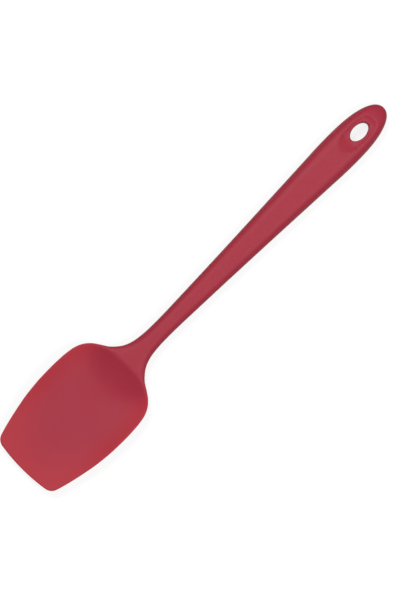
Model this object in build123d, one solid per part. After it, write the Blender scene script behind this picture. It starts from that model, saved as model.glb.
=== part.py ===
from build123d import *
import math
import os

# Silicone spoon spatula with a steel core, lying on its back with the bowl upwards.
# +Y runs from the blade to the handle end, +X across, +Z up from the bench.
# The origin is on the bench, below the middle of the overall length.
# All sizes are in millimetres.

os.makedirs("parts", exist_ok=True)

# Plan of the silicone body
overall_length = 275.0
tip_width = 38.6
head_width = 55.8
neck_width = 10.5
handle_width = 21.0
cap_width = 19.5
widest_from_tip = 50.5
head_length = 79.8
neck_length = 27.2
grip_end_length = 33.5
cap_length = 20.0
edge_bow = 1.9
corner_radius = 6.0

# Heights and thicknesses of the silicone body
handle_thickness = 12.2
neck_thickness = 8.0
neck_arch = 3.1
land_height = 10.7
land_side_radius = 1.9
crown_height = 0.35
floor_thickness = 4.0
rim_thickness = 1.3
edge_thickness = 1.1
edge_height = 6.7

# Bowl: the length of its back wall, and the radius of its section at the widest place and at the edge
bowl_back_length = 23.0
bowl_radius = 62.0
bowl_edge_radius = 94.0

# Hanging hole and the dish scooped round it, whose length is taken on a level top
hole_width = 7.4
hole_length = 12.3
hole_from_end = 18.6
hole_bevel = 0.7
dish_width = 13.8
dish_length = 31.8
dish_depth = 2.2
dish_offset = 1.2

# Steel core
core_thickness = 1.4
core_waist_cover = 2.0
core_end_cover = 4.7
core_grip_width = 12.0
core_tongue_width = 13.0
core_tongue_reach = 46.0
core_tongue_rise = 0.5
core_bend_radius = 12.0
core_corner_radius = 4.5
lock_hole_diameter = 4.0
grip_hole_pitch = 32.0
grip_hole_count = 3
tongue_hole_pitch = 18.0
tongue_hole_count = 1

# Greatest distance between the hull's sections, and how far tools run past what they cut
section_pitch = 5.7
overrun = 6.0

# Outline, in stretches from the blade to the neck: shares of the length, shares of the change in half width.
# The rim round the head follows the bowl as far as the rim end.
rim_end_shares = (0.73, 0.819)
flank_shares = [(-0.12, -0.22), (0.0, 0.0), (0.105, 0.198), (0.21, 0.378), (0.41, 0.651), (0.624, 0.872),
                (0.838, 0.983), (1.0, 1.0)]
shoulder_shares = [(0.27, 0.987), (0.454, 0.96), (0.546, 0.934), (0.638, 0.89), rim_end_shares,
                   (0.823, 0.709), (0.915, 0.541), (1.0, 0.369)]
neck_shares = [(0.107, 0.241), (0.206, 0.152), (0.305, 0.095), (0.404, 0.057), (0.504, 0.033),
               (0.603, 0.018), (0.798, 0.0035), (1.0, 0.0)]
# Growth from the neck to the grip's widest place, even between its two middle points
growth_shares = [(0.0, 0.0), (0.16, 0.11), (0.896, 0.909), (1.0, 1.0)]

# Underside: its lowest place in the head, its rise to the edge, and the arch under the neck
lowest_share = 0.05
belly_power = 1.9
crease_arch_share = 0.6
neck_arch_shares = (0.35, 0.93)

# Sides of the section: share of the half thickness, and how the round grows from the rim to the neck
side_round_share = 0.84
shoulder_round_shares = (0.5, 1.15)
neck_round_shares = (0.5, 0.94)
neck_drop_shares = (0.5, 0.18)
# The bowl cuts the rim at this share of its radius above its middle
rim_cut_share = 0.6
# The bowl's back wall is this share of a full quarter ellipse
wall_share = 0.97
# Places where the bowl's form is set out, along its rise to the edge and up its back wall
bowl_rise_shares = [1.0, 0.7, 0.4, 0.15, 0.0]
bowl_wall_shares = [0.25, 0.45, 0.63, 0.78, 0.9, 1.0]
wall_overrun_shares = [0.3, 1.0]
# The middles of the corner rounds stand this share of their radius inside the flanks
corner_meet_share = 0.985
# The rounded end is set out in equal steps of turn, and stops this share of the way round
cap_steps = 6
cap_last_share = 0.985
# Core: height of its tongue in the floor, its two bends, where its tongue narrows and where its waist starts
tongue_height_share = 0.55
tongue_bend_share = 0.23
neck_bend_share = 0.14
tongue_end_share = 0.55
waist_start_share = 0.4

# Places along Y
tip_y = -overall_length / 2
end_y = overall_length / 2
widest_y = tip_y + widest_from_tip
crease_y = tip_y + head_length
shoulder_length = crease_y - widest_y
neck_y = crease_y + neck_length
grip_y = end_y - grip_end_length
grip_length = grip_y - neck_y
cap_y = end_y - cap_length
floor_y = crease_y - bowl_back_length
lowest_y = floor_y - lowest_share * head_length
rim_end_y = widest_y + rim_end_shares[0] * shoulder_length
straight_start_y = neck_y + growth_shares[1][0] * grip_length
straight_end_y = neck_y + growth_shares[2][0] * grip_length
hole_y = end_y - hole_from_end
dish_y = hole_y + dish_offset
tongue_y = crease_y - core_tongue_reach
strip_end_y = dish_y - dish_length / 2 - core_end_cover

# Half sizes, radii and the depth of the quarter ellipse behind the bowl
tip_half = tip_width / 2
head_half = head_width / 2
neck_half = neck_width / 2
handle_half = handle_width / 2
cap_half = cap_width / 2
grip_middle = handle_thickness / 2
rim_end_half = neck_half + rim_end_shares[1] * (head_half - neck_half)
bow_radius = (tip_half ** 2 + edge_bow ** 2) / (2 * edge_bow)
neck_round = side_round_share * neck_thickness / 2
wall_depth = (land_height - floor_thickness) / (1 - math.sqrt(1 - wall_share ** 2))
wall_slope = wall_depth * wall_share ** 2 / math.sqrt(1 - wall_share ** 2) / bowl_back_length


def smooth_line(points, place):
    """Value at a place on the smooth line through (place, value) points, level at both ends, with no overshoot."""
    if place <= points[0][0]:
        return points[0][1]
    if place >= points[-1][0]:
        return points[-1][1]
    steps = [after[0] - before[0] for before, after in zip(points, points[1:])]
    rises = [after[1] - before[1] for before, after in zip(points, points[1:])]
    slopes = [rise / step for rise, step in zip(rises, steps)]
    tangents = [0]
    for before, after in zip(slopes, slopes[1:]):
        tangents.append(2 * before * after / (before + after) if before * after > 0 else 0)
    tangents.append(0)
    index = max(i for i, point in enumerate(points[:-1]) if point[0] <= place)
    along = (place - points[index][0]) / steps[index]
    bend_in = tangents[index] * steps[index] * along * (1 - along) ** 2
    bend_out = tangents[index + 1] * steps[index] * along ** 2 * (1 - along)
    return points[index][1] + rises[index] * along ** 2 * (3 - 2 * along) + bend_in - bend_out


def even_places(start, stop, pitch):
    """Places from start to stop, evenly spaced and no further apart than the pitch."""
    steps = math.ceil((stop - start) / pitch)
    return [start + (stop - start) * step / steps for step in range(steps + 1)]


def outline_points():
    """(place, half width) from just past the blade's edge to the start of the rounded end."""
    stretches = [
        (flank_shares, tip_y, widest_from_tip, tip_half, head_half),
        (shoulder_shares, widest_y, shoulder_length, neck_half, head_half),
        (neck_shares, crease_y, neck_length, neck_half, head_half),
        (growth_shares[1:], neck_y, grip_length, neck_half, handle_half),
    ]
    points = []
    for shares, start, length, narrow, wide in stretches:
        for along, across in shares:
            points.append((start + along * length, narrow + across * (wide - narrow)))
    return points + [(cap_y, cap_half)]


def arc_rise(radius, across):
    """Rise of an arc at a distance across from its lowest point."""
    return radius - math.sqrt(radius ** 2 - across ** 2)


def growth(y):
    """Share of the change from the neck's sizes to the grip's."""
    return smooth_line([(neck_y + along * grip_length, share) for along, share in growth_shares], y)


def bowl_floor(y):
    """Height of the bowl on its centre line: a gentle rise to the edge, and a quarter ellipse at the back."""
    if y <= floor_y:
        return floor_thickness + (edge_height - floor_thickness) * ((floor_y - y) / (floor_y - tip_y)) ** 2
    if y <= crease_y:
        climb = wall_share * (y - floor_y) / bowl_back_length
        return floor_thickness + wall_depth * (1 - math.sqrt(1 - climb ** 2))
    return land_height + wall_slope * (y - crease_y)


def bowl_curve(y):
    """Radius of the bowl's section across, which flattens towards the edge."""
    return smooth_line([(tip_y, bowl_edge_radius), (widest_y, bowl_radius)], y)


def belly(y):
    """Height of the underside on the centre line, with the head and the grip both touching the bench."""
    if y <= lowest_y:
        return (edge_height - edge_thickness) * ((lowest_y - y) / (lowest_y - tip_y)) ** belly_power
    if y >= neck_y:
        return neck_arch * (1 - growth(y))
    points = [
        (lowest_y, 0),
        (crease_y, neck_arch * crease_arch_share),
        (crease_y + neck_length * neck_arch_shares[0], neck_arch * neck_arch_shares[1]),
        (neck_y, neck_arch),
    ]
    return smooth_line(points, y)


def thickness(y):
    """Thickness of the neck and the grip on the centre line."""
    return neck_thickness + growth(y) * (handle_thickness - neck_thickness)


def top_height(y):
    """Height of the land, the neck and the grip on the centre line."""
    if y >= neck_y:
        return belly(y) + thickness(y)
    return smooth_line([(crease_y, land_height), (neck_y, neck_arch + neck_thickness)], y)


def side_radius(y):
    """Radius of the section's sides: half the rim round the head, nearly a half round along the grip."""
    if y >= neck_y:
        return side_round_share * thickness(y) / 2
    points = [
        (tip_y, edge_thickness / 2),
        (widest_y, rim_thickness / 2),
        (widest_y + shoulder_length * shoulder_round_shares[0], rim_thickness / 2 * shoulder_round_shares[1]),
        (crease_y, land_side_radius),
        (crease_y + neck_length * neck_round_shares[0], neck_round * neck_round_shares[1]),
        (neck_y, neck_round),
    ]
    return smooth_line(points, y)


def side_height(y, half_width):
    """Height of the middle of the side, which follows the bowl round the head."""
    if y >= neck_y:
        return belly(y) + thickness(y) / 2
    if y <= rim_end_y:
        return bowl_floor(y) + arc_rise(bowl_curve(y), half_width) - rim_cut_share * side_radius(y)
    crease_middle = land_height - crown_height - land_side_radius
    neck_middle = neck_arch + neck_thickness / 2
    points = [
        (rim_end_y, side_height(rim_end_y, rim_end_half)),
        (crease_y, crease_middle),
        (crease_y + neck_length * neck_drop_shares[0],
         neck_middle + neck_drop_shares[1] * (crease_middle - neck_middle)),
        (neck_y, neck_middle),
    ]
    return smooth_line(points, y)


def oval(y, half_width, middle, top, bottom, radius, bulge=1):
    """Section across: a top arc, a bottom arc and two sides, which are flat at no bulge and tangent at full bulge."""
    reach = half_width - radius
    joins = []
    for crown in (top - middle, middle - bottom):
        curve = (reach ** 2 + crown ** 2 - radius ** 2) / (2 * (crown - radius))
        angle = math.atan2(reach, curve - crown)
        joins.append((half_width - bulge * radius * (1 - math.sin(angle)), radius * math.cos(angle)))
    (top_x, top_z), (bottom_x, bottom_z) = joins
    top_left = (-top_x, y, middle + top_z)
    top_right = (top_x, y, middle + top_z)
    bottom_left = (-bottom_x, y, middle - bottom_z)
    bottom_right = (bottom_x, y, middle - bottom_z)
    if bulge > 0:
        right_side = ThreePointArc(top_right, (half_width, y, middle), bottom_right)
        left_side = ThreePointArc(bottom_left, (-half_width, y, middle), top_left)
    else:
        right_side = Line(top_right, bottom_right)
        left_side = Line(bottom_left, top_left)
    # Each side is in two pieces, which keeps its facets few
    return Wire([
        ThreePointArc(top_left, (0, y, top), top_right),
        right_side.trim(0, 0.5),
        right_side.trim(0.5, 1),
        ThreePointArc(bottom_right, (0, y, bottom), bottom_left),
        left_side.trim(0, 0.5),
        left_side.trim(0.5, 1),
    ])


def hull_section(y):
    """The hull's section at a place before its rounded end."""
    half_width = smooth_line(outline_points(), y)
    radius = side_radius(y)
    middle = side_height(y, half_width)
    top = top_height(y) if y >= crease_y else middle + radius + crown_height
    bulge = smooth_line([(rim_end_y, 0), (crease_y, 1)], y)
    return oval(y, half_width, middle, top, belly(y), radius, bulge)


def cap_section(step):
    """A section of the rounded end, whose sizes follow a quarter ellipse."""
    angle = math.pi / 2 * min(step / cap_steps, cap_last_share)
    y = cap_y + cap_length * math.sin(angle)
    half = grip_middle * math.cos(angle)
    return oval(y, cap_half * math.cos(angle), grip_middle, grip_middle + half, grip_middle - half,
                side_round_share * half)


def make_hull():
    """Outer form before the bowl is scooped out: head and neck, straight grip, and the grip's rounded end."""
    head = [hull_section(y) for y in even_places(tip_y - overrun, straight_start_y, section_pitch)]
    grip = [hull_section(straight_start_y), hull_section(straight_end_y)]
    grip_end = [hull_section(y) for y in even_places(straight_end_y, cap_y, section_pitch)]
    grip_end += [cap_section(step) for step in range(1, cap_steps + 1)]
    return Solid.make_loft(head) + [Solid.make_loft(grip, True), Solid.make_loft(grip_end)]


def make_bowl():
    """Tool that scoops the bowl out of the hull, and ends in the crease across the neck's land."""
    reach = head_half + overrun
    lid = bowl_radius
    places = [tip_y - overrun]
    places += [floor_y - share * (floor_y - tip_y) for share in bowl_rise_shares]
    places += [floor_y + share * bowl_back_length for share in bowl_wall_shares]
    places += [crease_y + share * overrun for share in wall_overrun_shares]
    sections = []
    for y in places:
        middle = bowl_floor(y)
        side = middle + arc_rise(bowl_curve(y), reach)
        sections.append(Wire([
            ThreePointArc((-reach, y, side), (0, y, middle), (reach, y, side)),
            Line((reach, y, side), (reach, y, lid)),
            Line((reach, y, lid), (-reach, y, lid)),
            Line((-reach, y, lid), (-reach, y, side)),
        ]))
    return Solid.make_loft(sections)


def in_plan(angle, distance):
    """Step in plan at an angle turned from -Y towards +X."""
    return Vector(math.sin(angle), -math.cos(angle)) * distance


def make_front_trim():
    """Tool that cuts the blade's bowed edge and rounds its two corners into the flanks."""
    bow_middle = Vector(0, tip_y + bow_radius)
    corner, beyond = outline_points()[1:3]
    flank = math.atan2(beyond[1] - corner[1], beyond[0] - corner[0])
    # The corner's circle touches the bow from inside and crosses the flank at a slight angle
    flank_gap = tip_half * math.cos(flank) + bow_radius * math.sin(flank) - corner_meet_share * corner_radius
    start = math.asin(flank_gap / (bow_radius - corner_radius)) - flank
    stop = math.pi / 2 - flank
    corner_middle = bow_middle + in_plan(start, bow_radius - corner_radius)
    right = [corner_middle + in_plan(angle, corner_radius) for angle in (start, (start + stop) / 2, stop)]
    right += [corner_middle + in_plan(angle, head_width) for angle in (stop, start)]
    left = [Vector(-point.X, point.Y) for point in right]
    outline = Wire([
        ThreePointArc(left[0], (0, tip_y), right[0]),
        ThreePointArc(*right[:3]),
        Line(right[2], right[3]),
        Line(right[3], right[4]),
        Line(right[4], left[4]),
        Line(left[4], left[3]),
        Line(left[3], left[2]),
        ThreePointArc(left[2], left[1], left[0]),
    ])
    return extrude(Face(outline), handle_thickness * 2, both=True)


def make_dish():
    """Scoop round the hanging hole: a round groove, curved along the grip about an axis high above it."""
    bottom = handle_thickness - dish_depth
    across_radius = ((dish_width / 2) ** 2 + dish_depth ** 2) / (2 * dish_depth)
    along_radius = ((dish_length / 2) ** 2 + dish_depth ** 2) / (2 * dish_depth)
    turn = math.degrees(math.asin((dish_length / 2 + overrun) / along_radius))
    lid = bottom + across_radius
    arc = ThreePointArc((-across_radius, dish_y, lid), (0, dish_y, bottom), (across_radius, dish_y, lid))
    axis = Axis((0, dish_y, bottom + along_radius), (1, 0, 0))
    groove = Face(Wire([arc, Line(arc @ 1, arc @ 0)]))
    return revolve(groove.rotate(axis, -turn), axis, 2 * turn)


def make_hole():
    """Tool for the oval hanging hole."""
    oval_hole = Ellipse(hole_width / 2, hole_length / 2)
    return Pos(0, hole_y, 0) * extrude(oval_hole, handle_thickness * 2, both=True)


def make_outer():
    """The moulded outside: hull less bowl and dish, with a hanging hole whose two mouths are bevelled."""
    body = make_hull() - make_front_trim() - make_bowl() - make_dish() - make_hole()
    mouths = []
    for edge in body.edges():
        box = edge.bounding_box()
        if edge.is_closed and box.size.X < dish_width and abs(box.center().Y - hole_y) < hole_bevel:
            mouths.append(edge)
    return chamfer(mouths, hole_bevel)


def make_core_band():
    """Steel strip seen from the side: flat in the grip, bent down behind the bowl to a tongue in its floor."""
    tongue_z = floor_thickness * tongue_height_share
    line = FilletPolyline(
        (tongue_y, tongue_z + core_tongue_rise),
        (floor_y + tongue_bend_share * bowl_back_length, tongue_z),
        (crease_y + neck_bend_share * neck_length, grip_middle),
        (strip_end_y, grip_middle),
        radius=core_bend_radius,
    )
    return extrude(Plane.YZ * trace(line, core_thickness), head_half, both=True)


def make_core_blank():
    """Plan of the stamped core: a tongue in the head, a narrow waist and a grip strip, with locking holes."""
    tongue_half = core_tongue_width / 2
    waist_half = neck_half - core_waist_cover
    right = [
        (tongue_half, tongue_y),
        (tongue_half, crease_y - tongue_end_share * bowl_back_length),
        (waist_half, crease_y + waist_start_share * neck_length),
        (waist_half, neck_y),
        (core_grip_width / 2, strip_end_y),
    ]
    left = [(-x, y) for x, y in reversed(right)]
    blank = make_face(Polyline(*right, *left, close=True))
    corners = []
    for corner in blank.vertices():
        if min(abs(corner.Y - tongue_y), abs(corner.Y - strip_end_y)) < core_thickness:
            corners.append(corner)
    blank = fillet(corners, core_corner_radius)
    holes = [strip_end_y - (index + 0.5) * grip_hole_pitch for index in range(grip_hole_count)]
    holes += [tongue_y + (index + 0.5) * tongue_hole_pitch for index in range(tongue_hole_count)]
    for y in holes:
        blank -= Pos(0, y) * Circle(lock_hole_diameter / 2)
    return extrude(blank, handle_thickness * 2, both=True)


steel_core = make_core_band() & make_core_blank()
silicone_body = make_outer() - steel_core

export_step(silicone_body, "parts/silicone_body.step")
export_step(steel_core, "parts/steel_core.step")
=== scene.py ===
import math
import bmesh
import bpy
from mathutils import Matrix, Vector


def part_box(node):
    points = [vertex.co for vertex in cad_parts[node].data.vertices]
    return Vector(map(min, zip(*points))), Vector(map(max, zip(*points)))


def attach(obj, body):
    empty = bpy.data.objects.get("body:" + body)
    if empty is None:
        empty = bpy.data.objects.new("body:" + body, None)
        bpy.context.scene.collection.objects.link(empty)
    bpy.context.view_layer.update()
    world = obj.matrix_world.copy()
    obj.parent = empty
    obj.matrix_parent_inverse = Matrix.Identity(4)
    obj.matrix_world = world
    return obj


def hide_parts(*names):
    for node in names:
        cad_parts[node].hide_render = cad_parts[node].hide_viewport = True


# Silicone spoon spatula on a white table, from straight above: a moulded skin over the hidden steel core
# Sizes in the dictionaries are in millimetres, and places along it are distances from the blade's edge

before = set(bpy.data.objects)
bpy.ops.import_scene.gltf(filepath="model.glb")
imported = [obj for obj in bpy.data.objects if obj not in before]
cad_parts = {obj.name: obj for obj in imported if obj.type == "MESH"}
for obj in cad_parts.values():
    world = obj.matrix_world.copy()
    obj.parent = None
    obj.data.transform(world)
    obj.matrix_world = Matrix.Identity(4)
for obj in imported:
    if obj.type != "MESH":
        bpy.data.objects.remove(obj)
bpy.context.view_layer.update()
mm = 0.001
keptInside = 0.01  # the skin's ends stay this far inside the frame's own facets
low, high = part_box("silicone_body")
print("frame loaded, body", [round(size / mm, 2) for size in high - low])

spatula = {
    "tipY": low.y / mm + keptInside,
    "endY": high.y / mm - keptInside,
    "outline": [  # distance from the blade's edge, half width
        (0.0, 19.3), (5.3, 21.0), (10.6, 22.55), (20.7, 24.9), (31.5, 26.8), (42.3, 27.72), (50.5, 27.88),
        (58.4, 27.6), (63.8, 26.99), (66.5, 26.41), (69.2, 25.41), (71.9, 23.8), (74.6, 21.31), (77.3, 17.5),
        (79.8, 13.61), (82.7, 10.71), (85.4, 8.69), (88.1, 7.4), (90.8, 6.54), (93.5, 6.0), (96.2, 5.66),
        (101.5, 5.33), (107.0, 5.25), (128.5, 5.83), (227.5, 10.04), (234.5, 10.38), (243.0, 10.52),
    ],
    "endFullness": (2.5, 2.2),  # of the almond-shaped end, along and across
    "widest": 50.5,
    "crease": 79.8,  # where the bowl meets the neck's land
    "neck": 107.0,
    "grip": 241.5,
    "cap": 255.0,  # start of the rounded end
    "bow": 1.9,  # how far the blade's edge bows out
    "cornerRadius": 6.0,
    "thickness": 12.2,
    "neckThickness": 8.0,
    "neckArch": 3.1,  # height of the neck's underside over the table
    "archRise": [  # share of the crease to neck length, share of the arch
        (0.0, 0.6), (0.35, 0.93), (1.0, 1.0),
    ],
    "land": 10.7,  # height of the top where the neck meets the bowl
    "landCrown": 0.15,
    "shoulderTop": 11.47,  # top of the shoulders beside the bowl's back wall
    "shoulderRise": [  # share of the crease to neck length, how far the underside curls up at the sides
        (0.0, 5.6), (0.35, 1.8), (0.6, 0.4), (1.0, 0.0),
    ],
    "floor": 4.0,
    "lowest": 52.8,  # where the underside touches the table
    "bellyPower": 1.9,  # how the underside rises from there to the blade's edge
    "edgeHeight": 6.7,
    "edgeThickness": 1.1,
    "rim": [(0.0, 0.95), (50.5, 1.1), (71.9, 1.1)],  # thickness just inside the lip
    "rimEnd": 71.9,
    "bowlEnd": 79.8,  # the back wall would meet the land here without the crease's rounding
    "bowlBack": 19.0,
    "backPower": 1.62,
    "backEase": 0.35,  # how gently the back wall leaves the floor
    "bowlRadius": 62.0,  # across the bowl at its widest
    "bowlEdgeRadius": 94.0,  # across it at the blade's edge
    "growth": [  # share of the way from the neck's thickness to the grip's
        (107.0, 0.0), (128.5, 0.11), (227.5, 0.909), (241.5, 1.0),
    ],
    "roundness": [  # share of the half width that the rounded side takes
        (0.0, 0.0285), (50.5, 0.0233), (71.9, 0.032), (79.8, 0.14), (83.9, 0.33), (89.3, 0.6), (96.1, 0.75),
        (107.0, 0.78), (160.0, 0.64), (241.5, 0.52),
    ],
    "creaseSoftness": 0.8,
    "thickFrom": 3.3,  # silicone thinner than this is painted brighter, as painted light that comes through it
}

hangingHole = {
    "fromEnd": 18.6,
    "halfWidth": 3.7,
    "halfLength": 6.15,
    "mouthRadius": 0.85,
    "dishWidth": 13.8,
    "dishDepth": 2.4,
    "dishStart": 15.0,  # from the middle of the hole towards the blade
    "dishEnd": 13.4,
    "dishFloor": (7.6, 7.6),  # the same for the part round the hole that is level along the handle
    "dishEase": 0.16,
    "dishSoftness": 0.45,
    "patchLength": 16.0,  # stretch of the skin that is cut out and led down into the hole
    "patchColumns": 18,
    "leadSteps": 4,  # steps from the patch's edge to the hole's mouth
    "mouthSteps": 6,
    "wallSteps": 5,
}

skinMesh = {
    "columns": 22,  # steps from the middle line to the rounded side
    "sideSteps": 12,  # steps from there to the parting line
    "cornerSteps": 14,
    "stretches": [  # end of the stretch, greatest step between its rows
        (67.5, 0.75), (75.0, 0.45), (83.0, 0.2), (107.0, 0.5), (227.0, 1.3), (255.0, 0.45),
    ],
    "capSteps": 57,
    "capTurn": 86.5,  # degrees of the rounded end that have rows, before the last small ring is closed
    "frontBend": (-1.36, -1.05),  # the rows bow out in the middle as the blade's edge does
    "frontBendEnd": 25.5,
    "creaseBend": [(61.5, 0.0), (78.0, 1.3), (81.5, 1.3), (97.5, 0.0)],  # and back as the crease does
    "frontReach": 12.0,  # the thinning towards the blade's edge is felt this far back
    "sideStart": [  # degrees round the rounded side where it starts: early on the lip, later on the neck
        (71.9, 15.0), (79.8, 20.0), (107.0, 35.0),
    ],
    "slopeStep": 0.05,
    "endGap": 0.02,  # heights are read no nearer than this to the handle's end
    "weldGap": 0.002,
}

tipY = spatula["tipY"]
endY = spatula["endY"]
widestY = tipY + spatula["widest"]
creaseY = tipY + spatula["crease"]
neckY = tipY + spatula["neck"]
gripY = tipY + spatula["grip"]
capY = tipY + spatula["cap"]
capLength = endY - capY
rimEndY = tipY + spatula["rimEnd"]
floorY = tipY + spatula["bowlEnd"] - spatula["bowlBack"]
lowestY = tipY + spatula["lowest"]
holeY = endY - hangingHole["fromEnd"]
tipHalf = spatula["outline"][0][1]
fullest, fullHalf = spatula["outline"][-1]
fullY = tipY + fullest
bowRadius = (tipHalf ** 2 + spatula["bow"] ** 2) / (2 * spatula["bow"])
bowY = tipY + bowRadius


def smoothCurve(points, start=0.0):
    # a line through the points, level at both ends, that never overshoots them
    places = [start + place for place, height in points]
    heights = [height for place, height in points]
    slopes = []
    for index in range(len(points) - 1):
        slopes.append((heights[index + 1] - heights[index]) / (places[index + 1] - places[index]))
    tangents = [0.0]
    for before, after in zip(slopes, slopes[1:]):
        tangents.append(2 * before * after / (before + after) if before * after > 0 else 0.0)
    tangents.append(0.0)

    def height(place):
        if place <= places[0]:
            return heights[0]
        if place >= places[-1]:
            return heights[-1]
        index = 0
        while place > places[index + 1]:
            index += 1
        step = places[index + 1] - places[index]
        along = (place - places[index]) / step
        rise = (heights[index + 1] - heights[index]) * along ** 2 * (3 - 2 * along)
        bendIn = tangents[index] * step * along * (1 - along) ** 2
        bendOut = tangents[index + 1] * step * along ** 2 * (1 - along)
        return heights[index] + rise + bendIn - bendOut

    return height


def softLower(first, second, softness):
    # the lower of two heights, rounded off where they meet
    near = max(softness - abs(first - second), 0.0) / softness
    return min(first, second) - near ** 2 * softness / 4


def arcRise(radius, across):
    # how far a hollow of this radius has risen at this distance from its middle
    return radius - math.sqrt(max(radius ** 2 - across ** 2, 0.0))


outlineHalf = smoothCurve(spatula["outline"], tipY)
roundness = smoothCurve(spatula["roundness"], tipY)
growth = smoothCurve(spatula["growth"], tipY)
rimThickness = smoothCurve(spatula["rim"], tipY)
bowlCurve = smoothCurve([(tipY, spatula["bowlEdgeRadius"]), (widestY, spatula["bowlRadius"])])
landTop = smoothCurve([
    (rimEndY, spatula["shoulderTop"]),
    (creaseY, spatula["land"]),
    (neckY, spatula["neckArch"] + spatula["neckThickness"]),
])
landCrown = smoothCurve([(creaseY, spatula["landCrown"]), (neckY, 0.0)])
neckLength = neckY - creaseY
archPoints = []
for share, rise in spatula["archRise"]:
    archPoints.append((creaseY + share * neckLength, spatula["neckArch"] * rise))
neckBelly = smoothCurve([(lowestY, 0.0)] + archPoints)


def halfWidth(y):
    # the outline, and past its last point the almond-shaped end
    if y <= fullY:
        return outlineHalf(y)
    along, across = spatula["endFullness"]
    share = (y - fullY) / (endY - fullY)
    return fullHalf * max(1 - share ** along, 0.0) ** (1 / across)


def easedRise(share, ease):
    # share where it is well over 0, and close to 0 before that
    return (share + math.hypot(share, ease)) / 2


def bowlTop(x, y):
    # the round of the bowl across it turns into the back wall as the side of a spoon does
    floor = spatula["floor"]
    front = (spatula["edgeHeight"] - floor) * (max(floorY - y, 0.0) / (floorY - tipY)) ** 2
    climb = easedRise((y - floorY) / spatula["bowlBack"], spatula["backEase"])
    back = (spatula["land"] - floor) * climb ** spatula["backPower"]
    return floor + front + math.hypot(arcRise(bowlCurve(y), x), back)


def belly(y):
    # height of the underside along the middle
    if y <= lowestY:
        rise = spatula["edgeHeight"] - spatula["edgeThickness"]
        return rise * (max(lowestY - y, 0.0) / (lowestY - tipY)) ** spatula["bellyPower"]
    if y <= neckY:
        return neckBelly(y)
    return spatula["neckArch"] * (1 - growth(y))


rimEndRise = bowlTop(halfWidth(rimEndY), rimEndY) - rimThickness(rimEndY) - belly(rimEndY)
shoulderPoints = [(creaseY + share * neckLength, rise) for share, rise in spatula["shoulderRise"]]
shoulderRise = smoothCurve([(rimEndY, rimEndRise)] + shoulderPoints)


def levels(x, y):
    # heights of the top and the underside before the sides are rounded
    if y > capY:
        half = spatula["thickness"] / 2
        turn = math.sqrt(max(1 - ((y - capY) / capLength) ** 2, 0.0))
        return half + half * turn, half - half * turn
    across = x / halfWidth(y)
    if y >= neckY:
        thinnest = spatula["neckThickness"]
        thickness = thinnest + growth(y) * (spatula["thickness"] - thinnest)
        return belly(y) + thickness, belly(y)
    top = landTop(y) - landCrown(y) * across ** 2
    if y < creaseY + spatula["creaseSoftness"]:
        top = softLower(top, bowlTop(x, y), spatula["creaseSoftness"])
    if y < rimEndY:
        rise = bowlTop(halfWidth(y), y) - rimThickness(y) - belly(y)
    else:
        rise = shoulderRise(y)
    return top, belly(y) + rise * across ** 2


def dishTop(x, y):
    # the scoop round the hanging hole is a groove, level beside the hole, that climbs out at both ends
    depth = hangingHole["dishDepth"]
    before, after = hangingHole["dishFloor"]
    ease = hangingHole["dishEase"]
    acrossRadius = ((hangingHole["dishWidth"] / 2) ** 2 + depth ** 2) / (2 * depth)
    rise = easedRise((holeY - before - y) / (hangingHole["dishStart"] - before), ease)
    rise += easedRise((y - holeY - after) / (hangingHole["dishEnd"] - after), ease)
    return spatula["thickness"] - depth + depth * rise + arcRise(acrossRadius, x)


def skinPoint(x, y, share, upper):
    # share is 1 well inside the outline and 0 on the parting line
    top, under = levels(x, y)
    middle = (top + under) / 2
    half = (top - under) / 2 * share
    if not upper:
        return (x * mm, y * mm, (middle - half) * mm)
    height = softLower(middle + half, dishTop(x, y), hangingHole["dishSoftness"])
    return (x * mm, y * mm, max(height, middle) * mm)


def makeRows():
    # one row of the skin for each place along the outline's right-hand side, with the way outwards there
    rows = []
    nudge = skinMesh["slopeStep"]
    radius = spatula["cornerRadius"]
    flank = math.atan2(spatula["outline"][1][1] - tipHalf, spatula["outline"][1][0])
    gap = tipHalf * math.cos(flank) + bowRadius * math.sin(flank) - radius
    start = math.asin(gap / (bowRadius - radius)) - flank
    stop = math.pi / 2 - flank
    cornerX = (bowRadius - radius) * math.sin(start)
    cornerY = bowY - (bowRadius - radius) * math.cos(start)
    for step in range(skinMesh["cornerSteps"] + 1):
        angle = start + (stop - start) * step / skinMesh["cornerSteps"]
        outward = (math.sin(angle), -math.cos(angle))
        rows.append(((cornerX + radius * outward[0], cornerY + radius * outward[1]), outward))
    y = rows[-1][0][1]
    for reach, pitch in skinMesh["stretches"]:
        length = tipY + reach - y
        count = math.ceil(length / pitch)
        for step in range(1, count + 1):
            place = y + length * step / count
            slope = 0.0
            if place < gripY:
                slope = (halfWidth(place + nudge) - halfWidth(place - nudge)) / (2 * nudge)
            size = math.hypot(1, slope)
            rows.append(((halfWidth(place), place), (1 / size, -slope / size)))
        y += length
    for step in range(1, skinMesh["capSteps"] + 1):
        angle = math.radians(skinMesh["capTurn"]) * step / skinMesh["capSteps"]
        place = capY + capLength * math.sin(angle)
        rows.append(((halfWidth(place), place), (1.0, 0.0)))
    return rows


rows = makeRows()
bendAtEdge, bendAtCorner = skinMesh["frontBend"]
frontBend = smoothCurve([
    (rows[0][0][1], bendAtEdge),
    (rows[skinMesh["cornerSteps"]][0][1], bendAtCorner),
    (tipY + skinMesh["frontBendEnd"], 0.0),
])
creaseBend = smoothCurve(skinMesh["creaseBend"], tipY)
sideStart = smoothCurve(skinMesh["sideStart"], tipY)


def sideSteps(index):
    # inset from the outline and share of the thickness, from the sheet's edge to the parting line
    place, _ = rows[index]
    power = 2 / roundness(place[1])
    start = math.radians(sideStart(place[1]))
    steps = []
    for step in range(skinMesh["sideSteps"] + 1):
        turn = start + (math.pi / 2 - start) * step / skinMesh["sideSteps"]
        steps.append((place[0] * (1 - math.sin(turn) ** (2 / power)), math.cos(turn)))
    return steps


rowSides = [sideSteps(index) for index in range(len(rows))]


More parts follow.
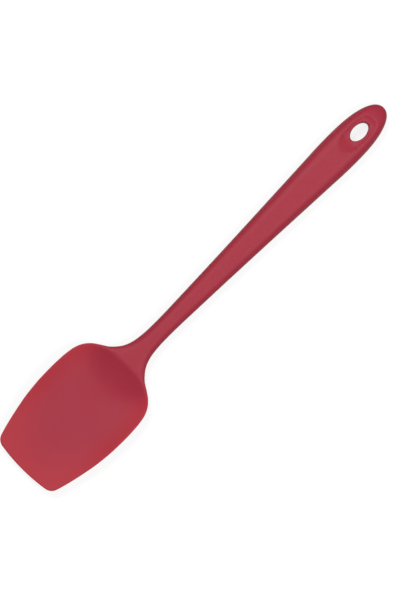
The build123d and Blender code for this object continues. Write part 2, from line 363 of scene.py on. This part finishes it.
def sheetPlace(rowIndex, across):
    # plan place and thickness share of a point of the sheet, with across from -1 to 1
    place, outward = rows[rowIndex]
    inset = rowSides[rowIndex][0][0]
    edgeX = place[0] - outward[0] * inset
    edgeY = place[1] - outward[1] * inset
    bend = frontBend(place[1]) + creaseBend(place[1])
    x = across * edgeX
    y = edgeY + bend * (1 - across ** 2)
    if rowIndex == 0:
        y = bowY - math.sqrt((bowRadius - inset) ** 2 - x ** 2)
    power = 2 / roundness(place[1])
    fullness = (abs(across) * (1 - inset / place[0])) ** power
    if y < tipY + skinMesh["frontReach"]:
        frontGap = bowRadius - math.hypot(x, y - bowY)
        fullness = max(fullness, (1 - max(frontGap, 0.0) / place[0]) ** power)
    return x, y, math.sqrt(max(1 - fullness, 0.0))


def holeSteps():
    # how the skin is led through the hole: share of the way to the hole, how much wider than the hole the
    # oval is, drop below the skin, upper or lower side, share of the way down the wall
    radius = hangingHole["mouthRadius"]
    leadCount = hangingHole["leadSteps"]
    mouthCount = hangingHole["mouthSteps"]
    wallCount = hangingHole["wallSteps"]
    lead = [(step / leadCount, radius, 0.0) for step in range(1, leadCount + 1)]
    turns = [math.radians(90 * step / mouthCount) for step in range(1, mouthCount + 1)]
    mouth = [(1.0, radius * (1 - math.sin(turn)), radius * (1 - math.cos(turn))) for turn in turns]
    steps = [step + (True, 0.0) for step in lead + mouth]
    steps += [(1.0, 0.0, radius, True, wall / wallCount) for wall in range(1, wallCount)]
    steps += [step + (False, 0.0) for step in reversed([(0.0, radius, 0.0)] + lead + mouth)]
    return steps


def extrudeChain(bm, chain):
    # leads a chain of edges on by one step, and gives the new edges and their vertices
    grown = bmesh.ops.extrude_edge_only(bm, edges=chain)["geom"]
    chain = [part for part in grown if isinstance(part, bmesh.types.BMEdge)]
    return chain, {vert for edge in chain for vert in edge.verts}


def openHole(bm, sheets, rowOf, columnOf):
    # cuts a patch out of both sheets and extrudes its edge through the oval hole
    halfPatch = hangingHole["patchLength"] / 2
    reach = hangingHole["patchColumns"]
    inside = [index for index, row in enumerate(rows) if abs(row[0][1] - holeY) < halfPatch]
    middleRow = inside[len(inside) // 2]
    patchHalf = sheetPlace(middleRow, reach / skinMesh["columns"])[0]

    def inPatch(vert):
        return inside[0] <= vert[rowOf] <= inside[-1] and abs(vert[columnOf]) <= reach

    def onSkin(x, y, upper):
        share = math.sqrt(1 - (abs(x) / halfWidth(y)) ** (2 / roundness(y)))
        return skinPoint(x, y, share, upper)

    def holePoint(vert, way, wider, drop, upper, wall):
        # a point of the oval, with its height read off the skin at the oval of the hole's mouth
        startX, startY, _ = sheetPlace(vert[rowOf], vert[columnOf] / skinMesh["columns"])
        angle = math.atan2((startY - holeY) / halfPatch, startX / patchHalf)
        ovals = []
        for extra in (wider, hangingHole["mouthRadius"]):
            ovalX = (hangingHole["halfWidth"] + extra) * math.cos(angle)
            ovalY = holeY + (hangingHole["halfLength"] + extra) * math.sin(angle)
            ovals.append((startX + (ovalX - startX) * way, startY + (ovalY - startY) * way))
        top = onSkin(*ovals[1], True)[2] - drop * mm
        under = onSkin(*ovals[1], False)[2] + drop * mm
        if wall > 0:
            height = top + (under - top) * wall
        else:
            height = top if upper else under
        return ovals[0][0] * mm, ovals[0][1] * mm, height

    faces = [face for face in bm.faces if all(inPatch(vert) for vert in face.verts)]
    bmesh.ops.delete(bm, geom=faces, context="FACES")
    upperRim, lowerRim = [{vert for vert in sheet if vert.is_valid and inPatch(vert)} for sheet in sheets]
    chain = [edge for edge in bm.edges if edge.is_boundary and all(vert in upperRim for vert in edge.verts)]
    lastVerts = set()
    for step in holeSteps():
        chain, lastVerts = extrudeChain(bm, chain)
        for vert in lastVerts:
            vert.co = holePoint(vert, *step)
    bmesh.ops.remove_doubles(bm, verts=list(lastVerts | lowerRim), dist=skinMesh["weldGap"] * mm)


def makeSkin():
    bm = bmesh.new()
    rowOf = bm.verts.layers.int.new("row")
    columnOf = bm.verts.layers.int.new("column")
    seam = bm.verts.layers.float.new("seam")
    thin = bm.verts.layers.float.new("thin")
    columns = skinMesh["columns"]
    lastRow = len(rows) - 1
    sheets = []
    for upper in (True, False):
        grid = bmesh.ops.create_grid(bm, x_segments=2 * columns, y_segments=lastRow, size=1.0)["verts"]
        for vert in grid:
            vert[columnOf] = round(vert.co.x * columns)
            vert[rowOf] = round((vert.co.y + 1) / 2 * lastRow)
            x, y, share = sheetPlace(vert[rowOf], vert[columnOf] / columns)
            vert.co = skinPoint(x, y, share, upper)
        sheets.append(grid)
    lowerFaces = {face for vert in sheets[1] for face in vert.link_faces}
    bmesh.ops.reverse_faces(bm, faces=list(lowerFaces))
    openHole(bm, sheets, rowOf, columnOf)
    sheets = [[vert for vert in sheet if vert.is_valid] for sheet in sheets]
    print("skin sheets with the hanging hole", len(bm.faces))

    # The front and both sides of the upper sheet are led round the lip to the lower one
    def onSide(vert):
        return vert[rowOf] == 0 or abs(vert[columnOf]) == columns

    def sidePoint(vert, step, upper):
        row = vert[rowOf]
        column = vert[columnOf]
        place, outward = rows[row]
        inset, share = rowSides[row][step]
        if row == 0 and abs(column) < columns:
            x, y, _ = sheetPlace(0, column / columns)
            size = math.hypot(x, y - bowY)
            outward = (x / size, (y - bowY) / size)
            place = (outward[0] * bowRadius, bowY + outward[1] * bowRadius)
            side = 1
        else:
            side = 1 if column > 0 else -1
        x = side * (place[0] - outward[0] * inset)
        return skinPoint(x, place[1] - outward[1] * inset, share, upper)

    upperEdge = {vert for vert in sheets[0] if onSide(vert)}
    lowerEdge = {vert for vert in sheets[1] if onSide(vert)}
    chain = [edge for edge in bm.edges if edge.is_boundary and all(vert in upperEdge for vert in edge.verts)]
    lastVerts = set()
    count = skinMesh["sideSteps"]
    order = [(step, True) for step in range(1, count + 1)]
    order += [(step, False) for step in range(count - 1, -1, -1)]
    for step, upper in order:
        chain, lastVerts = extrudeChain(bm, chain)
        for vert in lastVerts:
            vert.co = sidePoint(vert, step, upper)
            vert[seam] = 1.0 if step == count else 0.0
    bmesh.ops.remove_doubles(bm, verts=list(lastVerts | lowerEdge), dist=skinMesh["weldGap"] * mm)

    # The small ring left at the handle's end closes in a point
    ring = [edge for edge in bm.edges if edge.is_boundary]
    lid = bmesh.ops.holes_fill(bm, edges=ring)["faces"]
    for vert in bmesh.ops.poke(bm, faces=lid)["verts"]:
        vert.co.y = endY * mm
    bmesh.ops.recalc_face_normals(bm, faces=bm.faces)
    for face in bm.faces:
        face.smooth = True
    # the thin share is the mask of the painted light on thin silicone
    for vert in bm.verts:
        top, under = levels(vert.co.x / mm, min(vert.co.y / mm, endY - skinMesh["endGap"]))
        vert[thin] = max(0.0, min(1.0, (spatula["thickFrom"] - top + under) / spatula["thickFrom"]))
    openEdges = [edge for edge in bm.edges if not edge.is_manifold]
    print("skin faces", len(bm.faces), "open edges", len(openEdges))
    return bm


bm = makeSkin()
mesh = bpy.data.meshes.new("silicone_skin")
bm.to_mesh(mesh)
bm.free()
skin = bpy.data.objects.new("silicone_skin", mesh)
bpy.context.collection.objects.link(skin)
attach(skin, "root")
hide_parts("silicone_body")


nodeGap = 200  # between nodes in the editor


def newGroup(name, inputs, outputs):
    # a shader node group with named sockets; the kinds are Float, Vector and Color
    group = bpy.data.node_groups.new(name, "ShaderNodeTree")
    for title, kind, start in inputs:
        socket = group.interface.new_socket(name=title, in_out="INPUT", socket_type="NodeSocket" + kind)
        socket.default_value = start
    for title, kind in outputs:
        group.interface.new_socket(name=title, in_out="OUTPUT", socket_type="NodeSocket" + kind)
    return group


def addNode(tree, kind, place, settings=(), inputs=()):
    node = tree.nodes.new(kind)
    node.location = (place[0] * nodeGap, place[1] * nodeGap)
    for name, value in dict(settings).items():
        setattr(node, name, value)
    for name, value in dict(inputs).items():
        node.inputs[name].default_value = value
    return node


def join(tree, *pairs):
    for output, target in pairs:
        tree.links.new(output, target)


def makeGrainGroup():
    # fine pebbled grain of a blasted mould over slow waves in the surface
    group = newGroup(
        "mouldedGrain",
        [("Vector", "Vector", (0.0, 0.0, 0.0)), ("Grain Size", "Float", 0.3),
         ("Wave Size", "Float", 14.0), ("Wave Share", "Float", 0.5)],
        [("Height", "Float"), ("Grain", "Float")],
    )
    enter = addNode(group, "NodeGroupInput", (0, 0))
    leave = addNode(group, "NodeGroupOutput", (6, 0))
    grainScale = addNode(group, "ShaderNodeMath", (1, 1), {"operation": "DIVIDE"}, {0: 1.0})
    waveScale = addNode(group, "ShaderNodeMath", (1, -1), {"operation": "DIVIDE"}, {0: 1.0})
    grain = addNode(group, "ShaderNodeTexNoise", (2, 1), {}, {"Detail": 3.0, "Roughness": 0.55})
    pebbles = addNode(group, "ShaderNodeTexVoronoi", (2, 2), {"feature": "SMOOTH_F1"})
    pebbles.inputs["Smoothness"].default_value = 0.6
    wave = addNode(group, "ShaderNodeTexNoise", (2, -1), {}, {"Detail": 1.0, "Roughness": 0.4})
    both = addNode(group, "ShaderNodeMix", (3, 1), {"data_type": "FLOAT"}, {"Factor": 0.4})
    total = addNode(group, "ShaderNodeMath", (4, 0), {"operation": "MULTIPLY_ADD"})
    join(
        group,
        (enter.outputs["Grain Size"], grainScale.inputs[1]),
        (enter.outputs["Wave Size"], waveScale.inputs[1]),
        (enter.outputs["Vector"], grain.inputs["Vector"]),
        (enter.outputs["Vector"], pebbles.inputs["Vector"]),
        (enter.outputs["Vector"], wave.inputs["Vector"]),
        (grainScale.outputs[0], grain.inputs["Scale"]),
        (grainScale.outputs[0], pebbles.inputs["Scale"]),
        (waveScale.outputs[0], wave.inputs["Scale"]),
        (grain.outputs["Fac"], both.inputs["A"]),
        (pebbles.outputs["Distance"], both.inputs["B"]),
        (wave.outputs["Fac"], total.inputs[0]),
        (enter.outputs["Wave Share"], total.inputs[1]),
        (both.outputs["Result"], total.inputs[2]),
        (total.outputs[0], leave.inputs["Height"]),
        (both.outputs["Result"], leave.inputs["Grain"]),
    )
    return group


def makeToneGroup():
    # slow changes of tone and gloss over a surface, as handling and washing leave them
    group = newGroup(
        "unevenTone",
        [("Vector", "Vector", (0.0, 0.0, 0.0)), ("Color", "Color", (0.8, 0.8, 0.8, 1.0)),
         ("Patch Size", "Float", 30.0), ("Tone Change", "Float", 0.05), ("Roughness", "Float", 0.5),
         ("Roughness Change", "Float", 0.1)],
        [("Color", "Color"), ("Roughness", "Float")],
    )
    enter = addNode(group, "NodeGroupInput", (0, 0))
    leave = addNode(group, "NodeGroupOutput", (7, 0))
    scale = addNode(group, "ShaderNodeMath", (1, 0), {"operation": "DIVIDE"}, {0: 1.0})
    patches = addNode(group, "ShaderNodeTexNoise", (2, 0), {}, {"Detail": 4.0, "Roughness": 0.6})
    centred = addNode(group, "ShaderNodeMath", (3, 0), {"operation": "SUBTRACT"}, {1: 0.5})
    tone = addNode(group, "ShaderNodeMath", (4, 1), {"operation": "MULTIPLY_ADD"}, {2: 1.0})
    gloss = addNode(group, "ShaderNodeMath", (4, -1), {"operation": "MULTIPLY_ADD"})
    tinted = addNode(group, "ShaderNodeVectorMath", (5, 1), {"operation": "SCALE"})
    join(
        group,
        (enter.outputs["Patch Size"], scale.inputs[1]),
        (enter.outputs["Vector"], patches.inputs["Vector"]),
        (scale.outputs[0], patches.inputs["Scale"]),
        (patches.outputs["Fac"], centred.inputs[0]),
        (centred.outputs[0], tone.inputs[0]),
        (enter.outputs["Tone Change"], tone.inputs[1]),
        (centred.outputs[0], gloss.inputs[0]),
        (enter.outputs["Roughness Change"], gloss.inputs[1]),
        (enter.outputs["Roughness"], gloss.inputs[2]),
        (enter.outputs["Color"], tinted.inputs[0]),
        (tone.outputs[0], tinted.inputs["Scale"]),
        (tinted.outputs[0], leave.inputs["Color"]),
        (gloss.outputs[0], leave.inputs["Roughness"]),
    )
    return group


def linear(red, green, blue):
    # a colour given in 0 to 255 display values
    parts = []
    for value in (red / 255, green / 255, blue / 255):
        parts.append(value / 12.92 if value <= 0.04045 else ((value + 0.055) / 1.055) ** 2.4)
    return (*parts, 1.0)


siliconeFinish = {
    "colour": linear(168, 48, 65),
    "paintedLightColour": linear(189, 50, 61),  # painted light: thin silicone is painted this brighter red, standing in for light that comes through it
    "sheen": 0.28,  # the powdery skin of matt silicone mirrors less than a smooth one
    "refraction": 1.41,
    "roughness": 0.5,
    "roughnessChange": 0.12,
    "toneChange": 0.07,
    "patchSize": 26.0,
    "grainSize": 0.32,
    "waveSize": 11.0,
    "waveShare": 0.8,
    "reliefHeight": 0.03,
    "partingHeight": 0.4,  # share of the relief that the mould's parting line stands up
    "partingFrom": 0.55,  # share of the way to the parting line where it starts to rise
    "translucence": 0.1,
    "lightReach": 2.2,  # how far light travels inside the silicone
    "lightSpread": (1.0, 0.22, 0.18),  # shares of that for red, green and blue
}

steelFinish = {
    "colour": (0.62, 0.62, 0.63, 1.0),
    "roughness": 0.36,
    "roughnessChange": 0.16,
    "toneChange": 0.08,
    "patchSize": 9.0,
    "grainSize": 0.25,
    "waveSize": 18.0,
    "waveShare": 0.2,
    "reliefHeight": 0.008,
    "brushing": 0.03,  # the grain is drawn out along the strip
}


def makeMaterial(name):
    material = bpy.data.materials.new(name)
    material.use_nodes = True
    material.node_tree.nodes.clear()
    return material, material.node_tree


def makeSilicone(grainGroup, toneGroup):
    finish = siliconeFinish
    material, tree = makeMaterial("matt_red_silicone")
    output = addNode(tree, "ShaderNodeOutputMaterial", (8, 0))
    shader = addNode(tree, "ShaderNodeBsdfPrincipled", (7, 0))
    shader.inputs["IOR"].default_value = finish["refraction"]
    shader.inputs["Specular IOR Level"].default_value = finish["sheen"]
    shader.inputs["Subsurface Weight"].default_value = finish["translucence"]
    shader.inputs["Subsurface Radius"].default_value = finish["lightSpread"]
    shader.inputs["Subsurface Scale"].default_value = finish["lightReach"] * mm
    place = addNode(tree, "ShaderNodeTexCoord", (0, 0))
    sized = addNode(tree, "ShaderNodeMapping", (1, 0), {}, {"Scale": (1 / mm, 1 / mm, 1 / mm)})
    thin = addNode(tree, "ShaderNodeAttribute", (1, 2), {"attribute_name": "thin"})
    seam = addNode(tree, "ShaderNodeAttribute", (1, -2), {"attribute_name": "seam"})
    # painted light: the thin share mixes in the brighter red where light would come through thin silicone
    paintedLight = addNode(tree, "ShaderNodeMix", (3, 2), {"data_type": "RGBA"})
    paintedLight.inputs["A"].default_value = finish["colour"]
    paintedLight.inputs["B"].default_value = finish["paintedLightColour"]
    tone = addNode(tree, "ShaderNodeGroup", (5, 1), {"node_tree": toneGroup}, {
        "Patch Size": finish["patchSize"], "Tone Change": finish["toneChange"],
        "Roughness": finish["roughness"], "Roughness Change": finish["roughnessChange"]})
    grain = addNode(tree, "ShaderNodeGroup", (3, -1), {"node_tree": grainGroup}, {
        "Grain Size": finish["grainSize"], "Wave Size": finish["waveSize"],
        "Wave Share": finish["waveShare"]})
    parting = addNode(tree, "ShaderNodeMapRange", (3, -2), {"interpolation_type": "SMOOTHSTEP"}, {
        "From Min": finish["partingFrom"], "From Max": 1.0, "To Max": finish["partingHeight"]})
    relief = addNode(tree, "ShaderNodeMath", (4, -1), {"operation": "ADD"})
    bump = addNode(tree, "ShaderNodeBump", (5, -1), {}, {"Distance": finish["reliefHeight"] * mm})
    join(
        tree,
        (place.outputs["Object"], sized.inputs["Vector"]),
        (sized.outputs["Vector"], tone.inputs["Vector"]),
        (sized.outputs["Vector"], grain.inputs["Vector"]),
        (thin.outputs["Fac"], paintedLight.inputs["Factor"]),
        (paintedLight.outputs["Result"], tone.inputs["Color"]),
        (tone.outputs["Color"], shader.inputs["Base Color"]),
        (tone.outputs["Roughness"], shader.inputs["Roughness"]),
        (seam.outputs["Fac"], parting.inputs["Value"]),
        (grain.outputs["Height"], relief.inputs[0]),
        (parting.outputs["Result"], relief.inputs[1]),
        (relief.outputs[0], bump.inputs["Height"]),
        (bump.outputs["Normal"], shader.inputs["Normal"]),
        (shader.outputs["BSDF"], output.inputs["Surface"]),
    )
    return material


def makeSteel(grainGroup, toneGroup):
    finish = steelFinish
    material, tree = makeMaterial("brushed_core_steel")
    output = addNode(tree, "ShaderNodeOutputMaterial", (8, 0))
    shader = addNode(tree, "ShaderNodeBsdfPrincipled", (7, 0))
    shader.inputs["Metallic"].default_value = 1.0
    place = addNode(tree, "ShaderNodeTexCoord", (0, 0))
    drawn = addNode(tree, "ShaderNodeMapping", (1, 0), {}, {
        "Scale": (1 / mm, finish["brushing"] / mm, 1 / mm)})
    tone = addNode(tree, "ShaderNodeGroup", (3, 1), {"node_tree": toneGroup}, {
        "Color": finish["colour"], "Patch Size": finish["patchSize"], "Tone Change": finish["toneChange"],
        "Roughness": finish["roughness"], "Roughness Change": finish["roughnessChange"]})
    grain = addNode(tree, "ShaderNodeGroup", (3, -1), {"node_tree": grainGroup}, {
        "Grain Size": finish["grainSize"], "Wave Size": finish["waveSize"],
        "Wave Share": finish["waveShare"]})
    bump = addNode(tree, "ShaderNodeBump", (5, -1), {}, {"Distance": finish["reliefHeight"] * mm})
    join(
        tree,
        (place.outputs["Object"], drawn.inputs["Vector"]),
        (drawn.outputs["Vector"], tone.inputs["Vector"]),
        (drawn.outputs["Vector"], grain.inputs["Vector"]),
        (tone.outputs["Color"], shader.inputs["Base Color"]),
        (tone.outputs["Roughness"], shader.inputs["Roughness"]),
        (grain.outputs["Height"], bump.inputs["Height"]),
        (bump.outputs["Normal"], shader.inputs["Normal"]),
        (shader.outputs["BSDF"], output.inputs["Surface"]),
    )
    return material


grainGroup = makeGrainGroup()
toneGroup = makeToneGroup()
skin.data.materials.append(makeSilicone(grainGroup, toneGroup))
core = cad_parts["steel_core"]
core.data.materials.clear()
core.data.materials.append(makeSteel(grainGroup, toneGroup))
print("finishes made")

studio = {
    "tableSize": 4000.0,
    "tableColour": (0.22, 0.22, 0.22, 1.0),
    "tableLift": 0.82,  # how much brighter the table looks to the camera, so that it is white where lit
    "skyTop": 0.34,  # strength of the tent overhead and at its sides
    "skyLow": 0.05,
    "lamps": [  # name, place, width and length of the box, power
        ("left_strip", (-600, 200, 1150), (400, 560), 7.3),
        ("right_strip", (600, 200, 1150), (400, 560), 6.2),
        ("overhead_softbox", (0, 60, 1250), (500, 500), 1.6),
    ],
    "lens": 200,
    "cameraPlace": (3.714, -5.526, 1801.8),
    "cameraTurn": 45,
}


def seenDirectly(tree):
    # two masks: what the camera sees straight, and what it sees straight, in a gloss or through glass
    path = addNode(tree, "ShaderNodeLightPath", (0, 2))
    first = addNode(tree, "ShaderNodeMath", (1, 2), {"operation": "MAXIMUM"})
    second = addNode(tree, "ShaderNodeMath", (2, 2), {"operation": "MAXIMUM"})
    join(
        tree,
        (path.outputs["Is Camera Ray"], first.inputs[0]),
        (path.outputs["Is Glossy Ray"], first.inputs[1]),
        (first.outputs[0], second.inputs[0]),
        (path.outputs["Is Transmission Ray"], second.inputs[1]),
    )
    return path.outputs["Is Camera Ray"], second.outputs[0]


def makeTable():
    bm = bmesh.new()
    bmesh.ops.create_grid(bm, x_segments=8, y_segments=8, size=studio["tableSize"] / 2 * mm)
    mesh = bpy.data.meshes.new("table")
    bm.to_mesh(mesh)
    bm.free()
    table = bpy.data.objects.new("table", mesh)
    bpy.context.collection.objects.link(table)
    material, tree = makeMaterial("white_table")
    output = addNode(tree, "ShaderNodeOutputMaterial", (5, 0))
    paint = addNode(tree, "ShaderNodeBsdfDiffuse", (2, 0), {}, {"Color": studio["tableColour"]})
    lift = addNode(tree, "ShaderNodeEmission", (3, 1), {}, {"Color": (1, 1, 1, 1)})
    strength = addNode(tree, "ShaderNodeMath", (2, 1), {"operation": "MULTIPLY"})
    strength.inputs[1].default_value = studio["tableLift"]
    total = addNode(tree, "ShaderNodeAddShader", (4, 0))
    _, seen = seenDirectly(tree)
    join(
        tree,
        (seen, strength.inputs[0]),
        (strength.outputs[0], lift.inputs["Strength"]),
        (paint.outputs["BSDF"], total.inputs[0]),
        (lift.outputs["Emission"], total.inputs[1]),
        (total.outputs["Shader"], output.inputs["Surface"]),
    )
    mesh.materials.append(material)


def makeSky():
    # a soft tent, brighter overhead than at the sides, and plain white to the camera past the table
    world = bpy.data.worlds.new("tent")
    world.use_nodes = True
    bpy.context.scene.world = world
    tree = world.node_tree
    tree.nodes.clear()
    output = addNode(tree, "ShaderNodeOutputWorld", (6, 0))
    background = addNode(tree, "ShaderNodeBackground", (5, 0), {}, {"Color": (1, 1, 1, 1)})
    place = addNode(tree, "ShaderNodeTexCoord", (0, 0))
    parts = addNode(tree, "ShaderNodeSeparateXYZ", (1, 0))
    rise = addNode(tree, "ShaderNodeMapRange", (2, 0), {}, {
        "From Min": 0.0, "From Max": 1.0, "To Min": studio["skyLow"], "To Max": studio["skyTop"]})
    white = addNode(tree, "ShaderNodeMix", (4, 0), {"data_type": "FLOAT"}, {"B": 1.0})
    camera, _ = seenDirectly(tree)
    join(
        tree,
        (place.outputs["Generated"], parts.inputs["Vector"]),
        (parts.outputs["Z"], rise.inputs["Value"]),
        (camera, white.inputs["Factor"]),
        (rise.outputs["Result"], white.inputs["A"]),
        (white.outputs["Result"], background.inputs["Strength"]),
        (background.outputs["Background"], output.inputs["Surface"]),
    )


def makeLamps():
    for name, place, (width, length), power in studio["lamps"]:
        data = bpy.data.lights.new(name, "AREA")
        data.shape = "RECTANGLE"
        data.size = width * mm
        data.size_y = length * mm
        data.energy = power
        lamp = bpy.data.objects.new(name, data)
        lamp.location = [value * mm for value in place]
        lamp.rotation_euler = (0, math.atan2(place[0], place[2]), 0)
        lamp.visible_camera = False  # the camera stands above them
        bpy.context.collection.objects.link(lamp)


def makeCamera():
    # straight above, with the handle running to the upper right of the picture
    data = bpy.data.cameras.new("camera")
    data.lens = studio["lens"]
    camera = bpy.data.objects.new("camera", data)
    camera.location = [value * mm for value in studio["cameraPlace"]]
    camera.rotation_euler = (0, 0, math.radians(studio["cameraTurn"]))
    bpy.context.collection.objects.link(camera)
    bpy.context.scene.camera = camera


makeTable()
makeSky()
makeLamps()
makeCamera()
bpy.context.scene.view_settings.view_transform = "Standard"
print("table, light and camera set")
